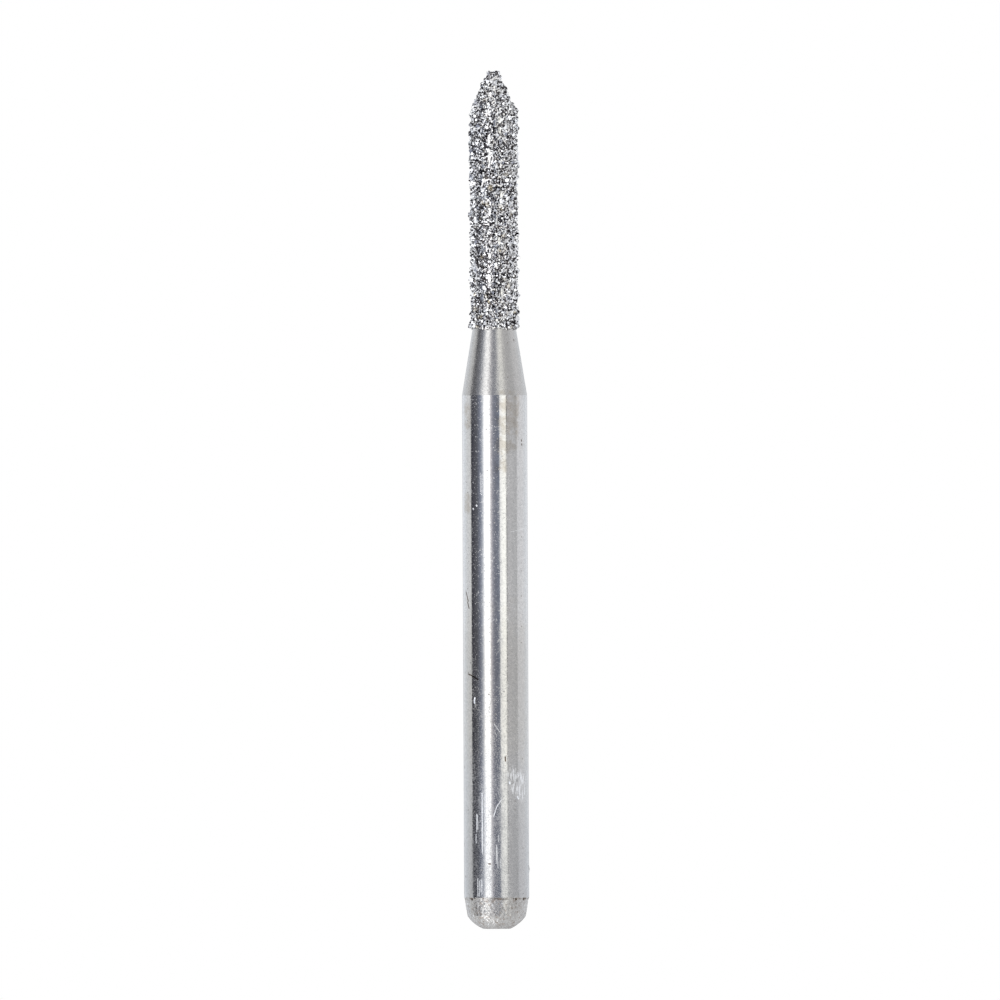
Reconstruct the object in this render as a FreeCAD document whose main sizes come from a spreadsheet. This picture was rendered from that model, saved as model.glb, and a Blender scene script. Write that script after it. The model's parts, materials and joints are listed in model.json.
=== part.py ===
import FreeCAD, Part
import math
import os
import random

import Sketcher
from FreeCAD import Vector

# A friction-grip dental bur: a steel blank turned in one piece, with a coat of diamond
# grit plated on its pointed head.
# Z runs up the axis from the middle of the shank's end face to the point.
# Every length is in millimetres.

# The driving dimensions, in the order in which the blank is turned from its end up.
SIZES = [
    ("end_flat_diameter", 0.66, "flat left on the shank's end"),
    ("end_round_radius", 0.85, "arc of the rounded end, in section"),
    ("end_round_height", 0.31, "height of the rounded end"),
    ("end_bevel_length", 0.46, "height of the bevel above the rounded end"),
    ("end_bevel_inset", 0.085, "how far the bevel goes in from the shank's wall"),
    ("shank_diameter", 1.60, "ground shank that the chuck grips"),
    ("shank_length", 12.36, "straight length of the shank"),
    ("neck_length", 1.90, "cone from the shank to the core, partly under the grit"),
    ("core_diameter", 0.98, "bare core of the head"),
    ("core_length", 6.00, "core from the neck to its tip"),
    ("core_point_length", 0.945, "pointed part of the core"),
    ("core_tip_radius", 0.11, "rounding of the core's tip"),
    ("coating_thickness", 0.115, "from the core to the tops of the grains"),
    ("coating_overlap", 0.27, "how far the coat comes down over the neck"),
    ("coating_flare", 0.15, "how far up the core the wider foot of the coat reaches"),
    ("grain_pitch", 0.14, "mean distance between two grains"),
    ("grain_relief", 0.07, "height of a grain over the bond beside it"),
]

# How unevenly the grains lie. A shift is a share of the step between two points of a
# row, or between two rows, and the edge is the lowest row. A height is a share of the
# relief.
ANGLE_SHIFT = 0.2
ROW_SHIFT = 0.22
EDGE_SHIFT = 0.65
TOP_HEIGHTS = (0.6, 1.4)
BOND_HEIGHTS = (-0.1, 0.35)
GRAIN_SEED = 7
POINTS_TO_A_GRAIN = 3
FEWEST_POINTS = 6
MESH_TOLERANCE = 1e-5

# Points that a row is turned past the row below it, which keeps its grains off the ones
# under them.
ROW_TURNS = (1.0, 2.0)


def add_sizes(doc):
    """Puts the driving dimensions in a spreadsheet, one row each."""
    sheet = doc.addObject("Spreadsheet::Sheet", "Sizes")
    for row, (name, value, meaning) in enumerate(SIZES, start=1):
        sheet.set(f"A{row}", meaning)
        sheet.set(f"B{row}", str(value))
        sheet.setAlias(f"B{row}", name)
    doc.recompute()
    return sheet


def origin_plane(body, role):
    """Returns one of a body's own origin planes."""
    return next(f for f in body.Origin.OriginFeatures if f.Role == role)


def blank_corners(sheet):
    """Works out the corners of the blank's half section, as (radius, height)."""
    bevel_bottom = sheet.end_round_height
    bevel_top = bevel_bottom + sheet.end_bevel_length
    shank_top = bevel_top + sheet.shank_length
    neck_top = shank_top + sheet.neck_length
    core_top = neck_top + sheet.core_length
    shank_radius = sheet.shank_diameter / 2
    core_radius = sheet.core_diameter / 2
    return {
        "middle": (0, 0),
        "flat": (sheet.end_flat_diameter / 2, 0),
        "bevel_bottom": (shank_radius - sheet.end_bevel_inset, bevel_bottom),
        "bevel_top": (shank_radius, bevel_top),
        "shank_top": (shank_radius, shank_top),
        "neck_top": (core_radius, neck_top),
        "shoulder": (core_radius, core_top - sheet.core_point_length),
        "tip_middle": (0, core_top - sheet.core_tip_radius),
        "tip": (0, core_top),
    }


def point_slope(sheet):
    """Angle between the axis and the side of the point, which is tangent to the tip."""
    across = sheet.core_diameter / 2
    along = sheet.core_point_length - sheet.core_tip_radius
    return math.atan2(across, along) - math.asin(
        sheet.core_tip_radius / math.hypot(across, along)
    )


def neck_slope(sheet):
    """Angle between the axis and the side of the neck."""
    taper = (sheet.shank_diameter - sheet.core_diameter) / 2
    return math.atan2(taper, sheet.neck_length)


def round_end_middle(sheet, low, high):
    """Middle of the end's arc, which lies on the inner side of its chord."""
    chord = high - low
    away = math.sqrt(sheet.end_round_radius**2 - chord.Length**2 / 4)
    inward = Vector(-chord.y, chord.x, 0).normalize()
    return (low + high) / 2 + inward * away


def add_blank(doc, sheet):
    """Turns the blank: end, shank, neck and the core of the head, in one revolution."""
    body = doc.addObject("PartDesign::Body", "Blank")
    body.Label = "steel_shank"
    sketch = body.newObject("Sketcher::SketchObject", "BlankSection")
    sketch.AttachmentSupport = (origin_plane(body, "XZ_Plane"), [""])
    sketch.MapMode = "FlatFace"

    corner = {name: Vector(*place, 0) for name, place in blank_corners(sheet).items()}
    slope = point_slope(sheet)
    touch = corner["tip_middle"] + Vector(math.cos(slope), math.sin(slope), 0) * (
        sheet.core_tip_radius
    )
    middle = round_end_middle(sheet, corner["flat"], corner["bevel_bottom"])
    start, end = (
        math.atan2((corner[name] - middle).y, (corner[name] - middle).x)
        for name in ("flat", "bevel_bottom")
    )
    up = Vector(0, 0, 1)
    end_circle = Part.Circle(middle, up, sheet.end_round_radius)
    tip_circle = Part.Circle(corner["tip_middle"], up, sheet.core_tip_radius)
    outline = [
        ("end_flat", Part.LineSegment(corner["middle"], corner["flat"])),
        ("end_round", Part.ArcOfCircle(end_circle, start, end)),
        ("bevel", Part.LineSegment(corner["bevel_bottom"], corner["bevel_top"])),
        ("shank", Part.LineSegment(corner["bevel_top"], corner["shank_top"])),
        ("neck", Part.LineSegment(corner["shank_top"], corner["neck_top"])),
        ("core", Part.LineSegment(corner["neck_top"], corner["shoulder"])),
        ("point", Part.LineSegment(corner["shoulder"], touch)),
        ("tip", Part.ArcOfCircle(tip_circle, slope, math.pi / 2)),
        ("axis", Part.LineSegment(corner["tip"], corner["middle"])),
    ]
    side = {name: sketch.addGeometry(curve, False) for name, curve in outline}
    first, second, centre = 1, 2, 3
    origin, vertical_axis = -1, -2

    def constrain(*facts):
        return sketch.addConstraint(Sketcher.Constraint(*facts))

    def bind(name, formula, *facts):
        number = constrain(*facts)
        sketch.renameConstraint(number, name)
        sketch.setExpression(f"Constraints.{name}", formula)

    names = [name for name, _ in outline]
    for lower, upper in zip(names, names[1:]):
        joint = "Tangent" if (lower, upper) == ("point", "tip") else "Coincident"
        constrain(joint, side[lower], second, side[upper], first)
    constrain("Coincident", side["axis"], second, side["end_flat"], first)
    constrain("Coincident", side["end_flat"], first, origin, first)
    constrain("Horizontal", side["end_flat"])
    constrain("Vertical", side["shank"])
    constrain("Vertical", side["core"])
    constrain("PointOnObject", side["tip"], centre, vertical_axis)
    constrain("PointOnObject", side["tip"], second, vertical_axis)

    def radius_of(name, formula, line, end_number, value):
        facts = ("DistanceX", origin, first, side[line], end_number, value)
        bind(name, formula, *facts)

    def height_of(name, formula, line, value):
        facts = ("DistanceY", side[line], first, side[line], second, value)
        bind(name, formula, *facts)

    def length(low, high):
        return corner[high].y - corner[low].y

    radius_of("flat_radius", "Sizes.end_flat_diameter / 2", "end_flat", second, corner["flat"].x)
    radius_of("shank_radius", "Sizes.shank_diameter / 2", "shank", first, corner["shank_top"].x)
    radius_of("core_radius", "Sizes.core_diameter / 2", "core", first, corner["neck_top"].x)
    bind(
        "bevel_inset",
        "Sizes.end_bevel_inset",
        *("DistanceX", side["bevel"], first, side["bevel"], second, sheet.end_bevel_inset),
    )
    bind(
        "end_round_radius",
        "Sizes.end_round_radius",
        *("Radius", side["end_round"], sheet.end_round_radius),
    )
    bind("tip_radius", "Sizes.core_tip_radius", "Radius", side["tip"], sheet.core_tip_radius)
    height_of("round_height", "Sizes.end_round_height", "end_round", length("flat", "bevel_bottom"))
    height_of("bevel_height", "Sizes.end_bevel_length", "bevel", length("bevel_bottom", "bevel_top"))
    height_of("shank_height", "Sizes.shank_length", "shank", length("bevel_top", "shank_top"))
    height_of("neck_height", "Sizes.neck_length", "neck", length("shank_top", "neck_top"))
    height_of(
        "core_side",
        "Sizes.core_length - Sizes.core_point_length",
        "core",
        length("neck_top", "shoulder"),
    )
    bind(
        "core_height",
        "Sizes.core_length",
        *("DistanceY", side["core"], first, side["tip"], second, length("neck_top", "tip")),
    )

    turned = body.newObject("PartDesign::Revolution", "BlankTurned")
    turned.Profile = sketch
    turned.ReferenceAxis = (sketch, ["V_Axis"])
    turned.Angle = 360
    body.Tip = turned
    body.Placement = FreeCAD.Placement()
    return body, sketch


class Side:
    """A straight stretch of the coat's outline."""

    def __init__(self, low, high):
        self.low, self.run = low, high - low
        self.length = self.run.Length
        self.along = Vector(self.run).normalize()

    def at(self, distance):
        """The place and the outward direction, as (radius, height), at a distance."""
        return self.low + self.along * distance, Vector(self.along.y, -self.along.x, 0)


class Nose:
    """The round stretch over the tip."""

    def __init__(self, middle, radius, start):
        self.middle, self.radius, self.start = middle, radius, start
        self.length = radius * (math.pi / 2 - start)

    def at(self, distance):
        """The place and the outward direction, as (radius, height), at a distance."""
        angle = self.start + distance / self.radius
        outward = Vector(math.cos(angle), math.sin(angle), 0)
        return self.middle + outward * self.radius, outward


def coating_outline(sheet):
    """Outline over the tops of the grains: the blank's own, moved out by the coat."""
    corner = blank_corners(sheet)
    thickness = sheet.coating_thickness
    neck, point = neck_slope(sheet), point_slope(sheet)
    core_radius, neck_top = corner["neck_top"]
    shoulder = corner["shoulder"][1]
    edge_radius = core_radius + sheet.coating_overlap * math.tan(neck)
    edge = Vector(
        edge_radius + thickness * math.cos(neck),
        neck_top - sheet.coating_overlap + thickness * math.sin(neck),
        0,
    )
    head_radius = core_radius + thickness
    waist = Vector(head_radius, neck_top + sheet.coating_flare, 0)
    shoulder = Vector(head_radius, shoulder + thickness * math.tan(point / 2), 0)
    nose = Nose(
        Vector(*corner["tip_middle"], 0), sheet.core_tip_radius + thickness, point
    )
    touch, _ = nose.at(0)
    return [Side(edge, waist), Side(waist, shoulder), Side(shoulder, touch), nose]


def on_outline(outline, distance):
    """Finds the stretch that holds a distance from the coat's lower edge."""
    for stretch in outline[:-1]:
        if distance < stretch.length:
            return stretch.at(distance)
        distance -= stretch.length
    return outline[-1].at(distance)


def round_axis(place, angle):
    """Turns a place of the half section, as (radius, height), round the axis."""
    return Vector(place.x * math.cos(angle), place.x * math.sin(angle), place.y)


def grain_rows(sheet, outline):
    """Rows of (angle, point) round the head, from the lower edge to the tip.

    Every third point of a row is the top of a grain and the others lie in the bond.
    """
    chance = random.Random(GRAIN_SEED)
    step = sheet.grain_pitch / math.sqrt(POINTS_TO_A_GRAIN)
    whole = sum(stretch.length for stretch in outline)
    row_count = round(whole / (step * math.sin(math.pi / 3)))
    row_step = whole / row_count
    rows = []
    turn = 0
    for row in range(row_count):
        (radius, _, _), _ = on_outline(outline, row * row_step)
        grains = round(2 * math.pi * radius / (step * POINTS_TO_A_GRAIN))
        count = max(FEWEST_POINTS, grains * POINTS_TO_A_GRAIN)
        turn += chance.uniform(*ROW_TURNS)
        shift = ROW_SHIFT if row else EDGE_SHIFT
        points = []
        for number in range(count):
            is_top = (number - int(turn)) % POINTS_TO_A_GRAIN == 0
            height = chance.uniform(*(TOP_HEIGHTS if is_top else BOND_HEIGHTS))
            share = number + turn % 1 + chance.uniform(-ANGLE_SHIFT, ANGLE_SHIFT)
            distance = (row + chance.uniform(-shift, shift)) * row_step
            place, outward = on_outline(outline, distance)
            place = place - outward * sheet.grain_relief * (1 - height)
            angle = 2 * math.pi * share / count
            points.append((angle, round_axis(place, angle)))
        rows.append(points)
    return rows


def angle_at(row, number):
    """Angle of a row's point, counting on past a whole turn."""
    turns, place = divmod(number, len(row))
    return row[place][0] + 2 * math.pi * turns


def zip_rows(lower, upper, lower_start, upper_start):
    """Triangles between two rows, which may hold different numbers of points.

    It walks round both rows at once and always steps along the one that is behind.
    """
    faces = []
    low = high = 0
    while low < len(lower) or high < len(upper):
        here = lower_start + low % len(lower)
        above = upper_start + high % len(upper)
        low_middle = angle_at(lower, low) + angle_at(lower, low + 1)
        high_middle = angle_at(upper, high) + angle_at(upper, high + 1)
        if high == len(upper) or (low < len(lower) and low_middle <= high_middle):
            low += 1
            faces.append((here, lower_start + low % len(lower), above))
        else:
            high += 1
            faces.append((here, upper_start + high % len(upper), above))
    return faces


def fan(end, row, start):
    """Triangles from an end point to each edge of a row, seen anticlockwise from above."""
    count = len(row)
    return [(end, start + number, start + (number + 1) % count) for number in range(count)]


def add_grit_form(doc, sheet):
    """The rough outside of the coat, as a solid that is filled to the axis."""
    rows = grain_rows(sheet, coating_outline(sheet))
    points = [point for row in rows for _, point in row]
    starts = [sum(len(row) for row in rows[:number]) for number in range(len(rows))]
    faces = []
    for number in range(len(rows) - 1):
        pair, pair_starts = rows[number : number + 2], starts[number : number + 2]
        faces += zip_rows(*pair, *pair_starts)

    neck_top = blank_corners(sheet)["neck_top"][1]
    foot, tip = len(points), len(points) + 1
    points.append(Vector(0, 0, neck_top - sheet.coating_overlap))
    points.append(Vector(0, 0, neck_top + sheet.core_length + sheet.coating_thickness))
    faces += [face[::-1] for face in fan(foot, rows[0], starts[0])]
    faces += fan(tip, rows[-1], starts[-1])

    shell = Part.Shape()
    shell.makeShapeFromMesh((points, faces), MESH_TOLERANCE)
    form = doc.addObject("Part::Feature", "GritForm")
    form.Shape = Part.Solid(shell)
    form.Placement = FreeCAD.Placement()
    return form


def add_coating(doc, form, body):
    """Takes the blank out of the grit, so that the coat seats on the neck and the core."""
    coating = doc.addObject("Part::Cut", "Coating")
    coating.Label = "diamond_coating"
    coating.Base = form
    coating.Tool = body
    coating.Refine = False
    return coating


def check(doc, parts):
    """Stops before anything is written if an object failed or a shape isn't a solid."""
    for item in doc.Objects:
        if {"Invalid", "Error"} & set(item.State):
            raise RuntimeError(f"{item.Label} failed: {item.State}")
    for item in parts:
        shape = item.Shape
        if shape.isNull() or not shape.isValid() or len(shape.Solids) != 1:
            raise RuntimeError(f"{item.Label} isn't one valid solid")


def main():
    doc = FreeCAD.newDocument("DentalBur")
    sheet = add_sizes(doc)
    body, sketch = add_blank(doc, sheet)
    form = add_grit_form(doc, sheet)
    coating = add_coating(doc, form, body)
    doc.recompute()
    parts = [body, coating]
    check(doc, parts)
    os.makedirs("parts", exist_ok=True)
    for item in parts:
        item.Shape.exportStep(f"parts/{item.Label}.step")
        box = item.Shape.BoundBox
        print(
            f"{item.Label}: {item.Shape.Volume:.3f} mm3, {len(item.Shape.Faces)} faces,"
            f" {box.XLength:.3f} x {box.YLength:.3f} x {box.ZLength:.3f} mm,"
            f" from {box.ZMin:.3f} to {box.ZMax:.3f}"
        )


main()
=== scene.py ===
# %% [markdown]
# A dental bur, dressed for its portrait. The bur is a thin steel pin turned in one piece:
# a straight shank that a handpiece grips, a short neck, and a head that is plated with
# diamond grit and comes to a point. Its maker packed it as two solids, so this lesson
# starts by loading them. They give every size here, and the new pieces are built exactly
# where those solids lie.

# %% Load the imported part
import json

import bpy
import numpy as np
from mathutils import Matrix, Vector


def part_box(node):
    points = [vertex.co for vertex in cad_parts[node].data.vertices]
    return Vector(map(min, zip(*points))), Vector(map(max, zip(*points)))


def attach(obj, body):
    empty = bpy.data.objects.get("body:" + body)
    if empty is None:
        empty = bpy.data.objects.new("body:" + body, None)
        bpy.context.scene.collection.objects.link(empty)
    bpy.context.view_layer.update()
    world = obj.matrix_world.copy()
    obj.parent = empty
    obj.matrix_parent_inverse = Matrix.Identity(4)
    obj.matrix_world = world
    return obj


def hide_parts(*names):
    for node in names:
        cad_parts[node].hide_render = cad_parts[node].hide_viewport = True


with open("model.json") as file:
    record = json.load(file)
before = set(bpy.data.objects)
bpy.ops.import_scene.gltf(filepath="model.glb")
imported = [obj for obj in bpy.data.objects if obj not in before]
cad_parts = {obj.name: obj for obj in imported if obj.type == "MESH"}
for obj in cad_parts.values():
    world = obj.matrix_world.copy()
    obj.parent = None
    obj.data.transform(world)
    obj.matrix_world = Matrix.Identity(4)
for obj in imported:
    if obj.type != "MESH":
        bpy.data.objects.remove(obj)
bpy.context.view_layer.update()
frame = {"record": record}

# %% [markdown]
# Sizes come first. The record states the shank as a mount, with its radius, its length
# and its middle. The coat's box gives the two ends of the coat. What the boxes can't say,
# such as the bevel, is written here once, in millimetres as on the maker's drawing, and
# the pieces are worked out in millimetres until their meshes are made.

# %% Sizes, in millimetres
MM = 0.001
MICRON = MM / 1000
shank_mount = next(m for m in frame["record"]["mounts"] if m["name"] == "shank")
SHANK_RADIUS = shank_mount["dims"]["r_mm"]
SHANK_LENGTH = shank_mount["dims"]["length_mm"]
SHANK_LOW = shank_mount["pos_m"][2] / MM - SHANK_LENGTH / 2
SHANK_HIGH = SHANK_LOW + SHANK_LENGTH
BLANK_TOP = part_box("steel_shank")[1].z / MM
COAT_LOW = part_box("diamond_coating")[0].z / MM
COAT_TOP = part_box("diamond_coating")[1].z / MM

END_FLAT_RADIUS = 0.33
END_ROUND_HEIGHT = 0.31
END_ROUND_RADIUS = 0.85
BEVEL_INSET = 0.085
SHOULDER_INSET, SHOULDER_HEIGHT = 0.022, 0.07
CORE_RADIUS = 0.49
CORE_LENGTH = 6.0
CORE_POINT_LENGTH = 0.945
CORE_TIP_RADIUS = 0.11
CORE_LOW = BLANK_TOP - CORE_LENGTH
COAT_THICKNESS = COAT_TOP - BLANK_TOP
HALF_TURN = np.pi
print(f"shank {SHANK_LOW:.2f} to {SHANK_HIGH:.2f}, core from {CORE_LOW:.2f},")
print(f"coat {COAT_LOW:.2f} to {COAT_TOP:.2f}, {COAT_THICKNESS:.3f} thick")

# %% [markdown]
# The blank came off a lathe, so its shape is one outline carried round the axis. The
# outline could be drawn as a curve and spun with a Screw modifier. Here it is an array of
# (radius, height) points instead, because the same array then says where rows of faces
# are needed: close together on the worn end, far apart on the plain shank. A sharp corner
# on real steel is always broken a little, which is what makes it catch the light, so each
# corner gets a tiny arc.

# %% An outline of straight runs and arcs
def arc(middle, radius, start, end, count):
    """Points on a circle: middle + radius * (cos a, sin a), for a from start to end."""
    angle = np.linspace(start, end, count)
    return np.column_stack(
        (middle[0] + radius * np.cos(angle), middle[1] + radius * np.sin(angle))
    )


def broken_corners(corners, radii, count=5):
    """Each corner becomes a curve that leaves it at radius * tan(turn / 2) on both sides.

    The curve is (1 - t)^2 * before + 2 t (1 - t) * corner + t^2 * after, for t from 0 to 1.
    """
    before = corners[:-2] - corners[1:-1]
    after = corners[2:] - corners[1:-1]
    before /= np.linalg.norm(before, axis=1)[:, None]
    after /= np.linalg.norm(after, axis=1)[:, None]
    turn = HALF_TURN - np.arccos(np.clip((before * after).sum(axis=1), -1, 1))
    back = (radii * np.tan(turn / 2))[:, None]
    start, end = corners[1:-1] + before * back, corners[1:-1] + after * back
    t = np.linspace(0, 1, count)[None, :, None]
    curves = (
        (1 - t) ** 2 * start[:, None]
        + 2 * t * (1 - t) * corners[1:-1][:, None]
        + t**2 * end[:, None]
    )
    return np.vstack((corners[:1], curves.reshape(-1, 2), corners[-1:]))


def resample(outline, steps):
    """Adds points along an outline, so that from a height up no step is over its limit.

    steps is a list of (height, longest step), from the lowest height up.
    """
    runs = np.linalg.norm(np.diff(outline, axis=0), axis=1)
    middles = (outline[1:, 1] + outline[:-1, 1]) / 2
    heights, limits = np.array(steps).T
    limit = limits[np.clip(np.searchsorted(heights, middles) - 1, 0, None)]
    counts = np.ceil(runs / limit).astype(int)
    shares = np.concatenate([i + np.arange(n) / n for i, n in enumerate(counts) if n])
    shares = np.append(shares, len(runs))
    number = np.arange(len(outline))
    return np.column_stack(
        (np.interp(shares, number, outline[:, 0]), np.interp(shares, number, outline[:, 1]))
    )


# %% [markdown]
# The blank's outline goes from the middle of the end's flat to the tip. The point's side
# touches the round tip, and a little trigonometry gives its slope.

# %% The blank's own outline
POINT_ACROSS, POINT_ALONG = CORE_RADIUS, CORE_POINT_LENGTH - CORE_TIP_RADIUS
POINT_SLOPE = np.arctan2(POINT_ACROSS, POINT_ALONG) - np.arcsin(
    CORE_TIP_RADIUS / np.hypot(POINT_ACROSS, POINT_ALONG)
)


def end_round_arc(count):
    """The rounded end, bulging out from the chord between the flat and the bevel.

    Its middle lies on the chord's perpendicular, sqrt(radius^2 - (chord / 2)^2 ) inside.
    """
    low = np.array((END_FLAT_RADIUS, 0.0))
    high = np.array((SHANK_RADIUS - BEVEL_INSET, END_ROUND_HEIGHT))
    chord = high - low
    length = np.linalg.norm(chord)
    inward = np.array((-chord[1], chord[0])) / length
    middle = (low + high) / 2 + inward * np.sqrt(END_ROUND_RADIUS**2 - length**2 / 4)
    start, end = (np.arctan2(*(place - middle)[::-1]) for place in (low, high))
    return arc(middle, END_ROUND_RADIUS, start, end, count)


def tip_arc(radius, count=9):
    """The round tip, from where the point's side touches it up to the axis."""
    middle = (0.0, BLANK_TOP - CORE_TIP_RADIUS)
    return arc(middle, radius, POINT_SLOPE, HALF_TURN / 2, count)


CORNER_BREAK = 0.03
# a height, and the longest step from there up
BLANK_STEPS = [
    (-1, 0.018), (SHANK_LOW + 0.1, 0.1), (SHANK_HIGH - 0.1, 0.03), (CORE_LOW, 0.5)
]
blank_corners = np.array(
    [
        end_round_arc(2)[-1],
        (SHANK_RADIUS - SHOULDER_INSET, SHANK_LOW - SHOULDER_HEIGHT),
        (SHANK_RADIUS, SHANK_LOW),
        (SHANK_RADIUS, SHANK_HIGH),
        (CORE_RADIUS, CORE_LOW),
        (CORE_RADIUS, BLANK_TOP - CORE_POINT_LENGTH),
        tip_arc(CORE_TIP_RADIUS)[0],
    ]
)
blank_outline = np.vstack(
    (
        [(0.0, 0.0)],
        end_round_arc(9)[:-1],
        broken_corners(blank_corners, np.full(len(blank_corners) - 2, CORNER_BREAK)),
        tip_arc(CORE_TIP_RADIUS)[1:],
    )
)
blank_outline[-1, 0] = 0.0
blank_outline = resample(blank_outline, BLANK_STEPS)
print("outline points:", len(blank_outline))

# %% [markdown]
# The outline is then carried round the axis. The grid of points has two parameters, the
# place along the outline and the angle round the axis. The angle starts at the back, so
# that the seam lies away from the camera. A push is a distance along the outline's own
# outward direction: it makes pits, lumps and burrs real shapes, which a bump in a material
# can't be at the silhouette.

# %% Carry an outline round the axis
def outward(outline):
    """Outward direction of each outline point: the run through it, a quarter turn right."""
    run = np.gradient(outline, axis=0)
    run /= np.linalg.norm(run, axis=1)[:, None]
    return np.column_stack((run[:, 1], -run[:, 0]))


def turned_grid(outline, around):
    """Angles, 0 at the front and growing to the right, and the heights, as two grids."""
    angle = np.linspace(-HALF_TURN, HALF_TURN, around, endpoint=False)
    return np.meshgrid(angle, outline[1:-1, 1], indexing="xy")


def turned_points(outline, around, push=0.0, lift=0.0):
    """x = r sin a, y = -r cos a, z = h, with (r, h) pushed outward and lifted along z."""
    angle, height = turned_grid(outline, around)
    out = outward(outline)[1:-1]
    radius = outline[1:-1, :1] + push * out[:, :1]
    height = height + push * out[:, 1:] + lift
    return np.stack((radius * np.sin(angle), -radius * np.cos(angle), height), axis=2)


# %% [markdown]
# The points become a closed mesh. Four neighbours in the grid make one face, and the last
# column of faces joins the first one, so that the seam is closed. Both ends of the outline
# lie on the axis and become one pole each, with a fan of triangles round it.

# %% Make the grid a mesh
def new_object(name, points, faces):
    """A mesh from its points, in metres, and its faces, as an object in the scene."""
    mesh = bpy.data.meshes.new(name)
    mesh.from_pydata(points, [], faces)
    piece = bpy.data.objects.new(name, mesh)
    bpy.context.scene.collection.objects.link(piece)
    return piece


def turned_mesh(name, outline, around, push=0.0, lift=0.0):
    """A closed mesh: quads between the rows and round the seam, and a fan at each pole."""
    grid = turned_points(outline, around, push, lift)
    rows = len(grid)
    number = np.arange(rows * around).reshape(rows, around)
    beside = np.roll(number, -1, axis=1)
    quads = np.stack((number[:-1], beside[:-1], beside[1:], number[1:]), axis=2)
    low_pole, high_pole = rows * around, rows * around + 1
    low_fan = np.column_stack((np.full(around, low_pole), beside[0], number[0]))
    high_fan = np.column_stack((np.full(around, high_pole), number[-1], beside[-1]))
    poles = np.array([(0, 0, outline[0, 1]), (0, 0, outline[-1, 1])])
    points = np.vstack((grid.reshape(-1, 3), poles)) * MM
    faces = [*quads.reshape(-1, 4).tolist(), *low_fan.tolist(), *high_fan.tolist()]
    piece = new_object(name, points, faces)
    piece.data.shade_smooth()
    print(name, len(points), "points,", 2 * quads.size // 4 + 2 * around, "triangles")
    return piece


# %% [markdown]
# Steel that has been used and cleaned many times isn't smooth everywhere. The rounded end
# is left as it was cut and tumbled, with small pits along the edge of the bevel, and the
# chuck has raised a burr low on the shank. Each pit is a smooth bowl, depth * exp(-d^2),
# where d is the distance from its middle in units of its size. Those that face the camera
# are placed as the real ones lie, and seeded ones go on round the back.

# %% Pits, lumps and a burr in the blank
PIT_RING = 0.73
front_pits = np.array(
    [
        # degrees to the right of the front, height, size, depth
        (-51.2, PIT_RING, 0.035, 0.022),
        (38.0, PIT_RING, 0.045, 0.028),
        (59.1, PIT_RING, 0.045, 0.028),
        (-24.6, 0.633, 0.025, 0.010),
        (-34.7, 0.556, 0.03, 0.009),
        (-25.4, 0.46, 0.02, 0.010),
        (4.2, 0.596, 0.04, 0.009),
        (31.3, 0.505, 0.022, 0.009),
        (13.7, 0.313, 0.022, 0.012),
        (-67.1, 0.49, 0.022, 0.010),
        (-1.3, 0.185, 0.03, 0.010),
        (38.2, 0.273, 0.025, 0.010),
        (-22.9, 0.244, 0.022, 0.009),
    ]
)
BURR = (90.0, 1.49, 0.03, -0.022)
BACK_PITS, RING_SHARE = 30, 0.3
BACK_DEGREES, BACK_HEIGHTS = (75, 285), (0.1, 0.72)
PIT_SIZES, PIT_DEPTHS = (0.02, 0.045), (0.007, 0.024)
WEAR_SEED = 11
chance = np.random.default_rng(WEAR_SEED)
pit_degrees = chance.uniform(*BACK_DEGREES, BACK_PITS)
on_ring = chance.random(BACK_PITS) < RING_SHARE
pit_heights = np.where(on_ring, PIT_RING, chance.uniform(*BACK_HEIGHTS, BACK_PITS))
pit_sizes = chance.uniform(*PIT_SIZES, BACK_PITS)
pit_depths = chance.uniform(*PIT_DEPTHS, BACK_PITS)
back_pits = np.column_stack((pit_degrees, pit_heights, pit_sizes, pit_depths))
print(len(front_pits), "pits in front and", len(back_pits), "round the back")


def bowls(angle, height, radius, pits):
    """Sum of -depth * exp(-d^2), with d measured round and up the surface."""
    push = np.zeros_like(height)
    for degrees, middle, size, depth in pits:
        turn = (angle - np.radians(degrees) + HALF_TURN) % (2 * HALF_TURN) - HALF_TURN
        distance = np.hypot(turn * radius, height - middle) / size
        push -= depth * np.exp(-(distance**2))
    return push


def ripple(angle, height, seed, waves, longest, shortest):
    """A seamless roughness: the mean of many sines of (k * angle + m * height + phase)."""
    rolls = np.random.default_rng(seed)
    total = np.zeros_like(height)
    for _ in range(waves):
        length = rolls.uniform(shortest, longest)
        lean = rolls.uniform(0, 2 * HALF_TURN)
        turns = np.round(np.cos(lean) * 2 * HALF_TURN * SHANK_RADIUS / length)
        rise = np.sin(lean) * 2 * HALF_TURN / length
        total += np.sin(turns * angle + rise * height + rolls.uniform(0, 2 * HALF_TURN))
    return total / np.sqrt(waves)


# %% [markdown]
# Now the blank can be made. Its pits and its burr go in as bowls, and the burr is a bowl
# of negative depth. Between the pits the end is a little lumpy too, which a sum of sines
# gives. It fades out over the last bit below the shank, so that the shank stays true.

# %% Turn the blank
BLANK_AROUND = 256
END_LUMPS, END_FADE = 0.0022, 0.05
angle, height = turned_grid(blank_outline, BLANK_AROUND)
blank_push = bowls(angle, height, SHANK_RADIUS, [*front_pits, *back_pits, BURR])
end_share = np.clip((SHANK_LOW - height) / END_FADE, 0, 1)
end_ripple = ripple(angle, height, WEAR_SEED, waves=24, longest=0.5, shortest=0.07)
blank_push += END_LUMPS * end_share * end_ripple
steel_blank = turned_mesh("steel_blank", blank_outline, BLANK_AROUND, blank_push)

# %% [markdown]
# The head is the turned core with a coat on it, and everything in the coat is placed by
# one line: the core's outline moved out by some thickness, from the coat's foot on the
# neck up to the axis. A Solidify modifier could thicken the core instead, but it gives no
# line to set the grains on. Each straight part moves out square to itself, and a corner
# between two of them moves along by thickness * tan(half its turn).

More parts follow.
